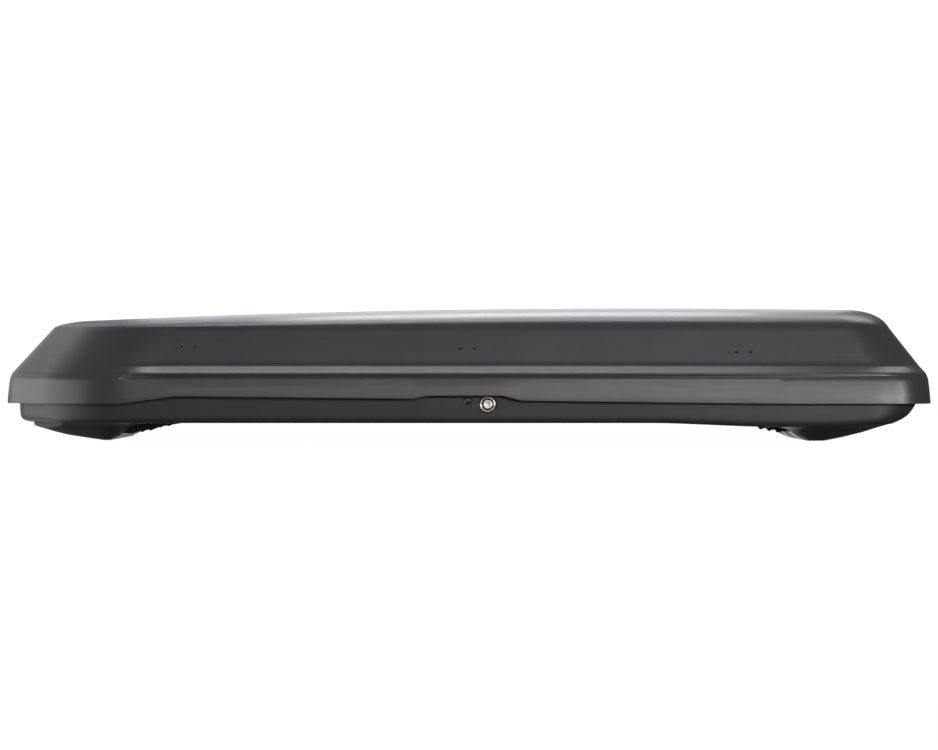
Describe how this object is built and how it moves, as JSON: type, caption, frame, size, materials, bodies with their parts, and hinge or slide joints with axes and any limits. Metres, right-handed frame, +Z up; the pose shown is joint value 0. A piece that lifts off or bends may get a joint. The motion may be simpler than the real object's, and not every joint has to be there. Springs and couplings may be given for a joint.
{
  "type": "roof cargo box",
  "caption": "Low wedge-shaped hard-shell roof cargo box with a side-opening lid on gas struts, a key lock with a sliding latch rail, and crossbar clamps.",
  "frame": {"origin": "middle of the box's footprint, on the level of its lowest points, the undersides of the two pods", "axes": "+X towards the tail, so the nose is at -X; +Y across to the hinge side, with the lock at -Y; +Z up"},
  "size_m": [2.03, 0.84, 0.295],
  "materials": {
    "charcoal_shell": "fine matt texture",
    "black_shell": "fine matt texture",
    "black_plastic": "moulded, satin",
    "black_rubber": "matt",
    "chrome": "plated",
    "zinc_steel": "zinc plated",
    "black_steel": "black coated",
    "black_webbing": "woven webbing"
  },
  "bodies": {
    "base": {"base_shell": "black_shell", "clamp_body_front_far": "black_plastic", "clamp_body_front_near": "black_plastic", "clamp_body_rear_far": "black_plastic", "clamp_body_rear_near": "black_plastic", "floor_bar_far": "zinc_steel", "floor_bar_near": "zinc_steel", "hinge_bracket_front": "zinc_steel", "hinge_bracket_middle": "zinc_steel", "hinge_bracket_rear": "zinc_steel", "hinge_pin_front": "black_steel", "hinge_pin_middle": "black_steel", "hinge_pin_rear": "black_steel", "latch_guide_front": "black_plastic", "latch_guide_middle": "black_plastic", "latch_guide_rear": "black_plastic", "lock_bezel": "chrome", "lock_housing": "black_plastic", "lock_screw": "black_steel", "rim_trim": "black_rubber", "strap_front": "black_webbing", "strap_rear": "black_webbing", "strut_base_bracket_front": "zinc_steel", "strut_base_bracket_rear": "zinc_steel"},
    "lid": {"lid_shell": "charcoal_shell", "hinge_leaf_front": "zinc_steel", "hinge_leaf_middle": "zinc_steel", "hinge_leaf_rear": "zinc_steel", "striker_front": "zinc_steel", "striker_middle": "zinc_steel", "striker_rear": "zinc_steel", "strut_lid_bracket_front": "zinc_steel", "strut_lid_bracket_rear": "zinc_steel", "rivet_far_front_1": "black_steel", "rivet_far_front_2": "black_steel", "rivet_far_middle_1": "black_steel", "rivet_far_middle_2": "black_steel", "rivet_far_rear_1": "black_steel", "rivet_far_rear_2": "black_steel", "rivet_near_front_1": "black_steel", "rivet_near_front_2": "black_steel", "rivet_near_middle_1": "black_steel", "rivet_near_middle_2": "black_steel", "rivet_near_rear_1": "black_steel", "rivet_near_rear_2": "black_steel"},
    "front_strut_tube": {"strut_tube_front": "black_steel"},
    "front_strut_rod": {"strut_rod_front": "chrome"},
    "rear_strut_tube": {"strut_tube_rear": "black_steel"},
    "rear_strut_rod": {"strut_rod_rear": "chrome"},
    "key": {"key_cylinder": "chrome", "lock_cam": "zinc_steel"},
    "latch": {"latch_rail": "zinc_steel"},
    "front_near_knob": {"clamp_knob_front_near": "black_plastic"},
    "front_near_jaw": {"clamp_jaw_front_near": "zinc_steel"},
    "front_far_knob": {"clamp_knob_front_far": "black_plastic"},
    "front_far_jaw": {"clamp_jaw_front_far": "zinc_steel"},
    "rear_near_knob": {"clamp_knob_rear_near": "black_plastic"},
    "rear_near_jaw": {"clamp_jaw_rear_near": "zinc_steel"},
    "rear_far_knob": {"clamp_knob_rear_far": "black_plastic"},
    "rear_far_jaw": {"clamp_jaw_rear_far": "zinc_steel"}
  },
  "joints": [
    {"name": "lid_open", "type": "hinge", "parent": "base", "child": "lid", "pos_m": [0, 0.4055, 0.098], "axis": [-1, 0, 0], "range_deg": [0, 45]},
    {"name": "front_strut_swing", "type": "hinge", "parent": "base", "child": "front_strut_tube", "pos_m": [-0.6, 0.3, 0.07], "axis": [-1, 0, 0], "range_deg": [0, 49.7]},
    {"name": "front_strut_extend", "type": "slide", "parent": "front_strut_tube", "child": "front_strut_rod", "axis": [0, -0.8762, 0.4819], "range_m": [0, 0.0779]},
    {"name": "rear_strut_swing", "type": "hinge", "parent": "base", "child": "rear_strut_tube", "pos_m": [0.6, 0.3, 0.07], "axis": [-1, 0, 0], "range_deg": [0, 49.7]},
    {"name": "rear_strut_extend", "type": "slide", "parent": "rear_strut_tube", "child": "rear_strut_rod", "axis": [0, -0.8762, 0.4819], "range_m": [0, 0.0779]},
    {"name": "key_turn", "type": "hinge", "parent": "base", "child": "key", "pos_m": [0.0485, -0.394, 0.0828], "axis": [0, 1, 0], "range_deg": [0, 90.1]},
    {"name": "latch_slide", "type": "slide", "parent": "base", "child": "latch", "axis": [1, 0, 0], "range_m": [0, 0.015]},
    {"name": "front_near_knob_turn", "type": "hinge", "parent": "base", "child": "front_near_knob", "pos_m": [-0.4, -0.22, 0.085], "axis": [0, 0, -1], "range_deg": [0, 720]},
    {"name": "front_near_jaw_slide", "type": "slide", "parent": "base", "child": "front_near_jaw", "axis": [-1, 0, 0], "range_m": [0, 0.0121]},
    {"name": "front_far_knob_turn", "type": "hinge", "parent": "base", "child": "front_far_knob", "pos_m": [-0.4, 0.22, 0.085], "axis": [0, 0, -1], "range_deg": [0, 720]},
    {"name": "front_far_jaw_slide", "type": "slide", "parent": "base", "child": "front_far_jaw", "axis": [-1, 0, 0], "range_m": [0, 0.0121]},
    {"name": "rear_near_knob_turn", "type": "hinge", "parent": "base", "child": "rear_near_knob", "pos_m": [0.4, -0.22, 0.085], "axis": [0, 0, -1], "range_deg": [0, 720]},
    {"name": "rear_near_jaw_slide", "type": "slide", "parent": "base", "child": "rear_near_jaw", "axis": [-1, 0, 0], "range_m": [0, 0.0121]},
    {"name": "rear_far_knob_turn", "type": "hinge", "parent": "base", "child": "rear_far_knob", "pos_m": [0.4, 0.22, 0.085], "axis": [0, 0, -1], "range_deg": [0, 720]},
    {"name": "rear_far_jaw_slide", "type": "slide", "parent": "base", "child": "rear_far_jaw", "axis": [-1, 0, 0], "range_m": [0, 0.0121]}
  ],
  "couplings": [
    {"joint": "front_strut_swing", "follows": "lid_open", "ratio": 1.1024},
    {"joint": "front_strut_extend", "follows": "lid_open", "m_per_rad": 0.099032},
    {"joint": "rear_strut_swing", "follows": "lid_open", "ratio": 1.1024},
    {"joint": "rear_strut_extend", "follows": "lid_open", "m_per_rad": 0.099032},
    {"joint": "key_turn", "follows": "latch_slide", "rad_per_m": 104.72},
    {"joint": "front_near_jaw_slide", "follows": "front_near_knob_turn", "m_per_rad": 0.0009549},
    {"joint": "front_far_jaw_slide", "follows": "front_far_knob_turn", "m_per_rad": 0.0009549},
    {"joint": "rear_near_jaw_slide", "follows": "rear_near_knob_turn", "m_per_rad": 0.0009549},
    {"joint": "rear_far_jaw_slide", "follows": "rear_far_knob_turn", "m_per_rad": 0.0009549}
  ]
}
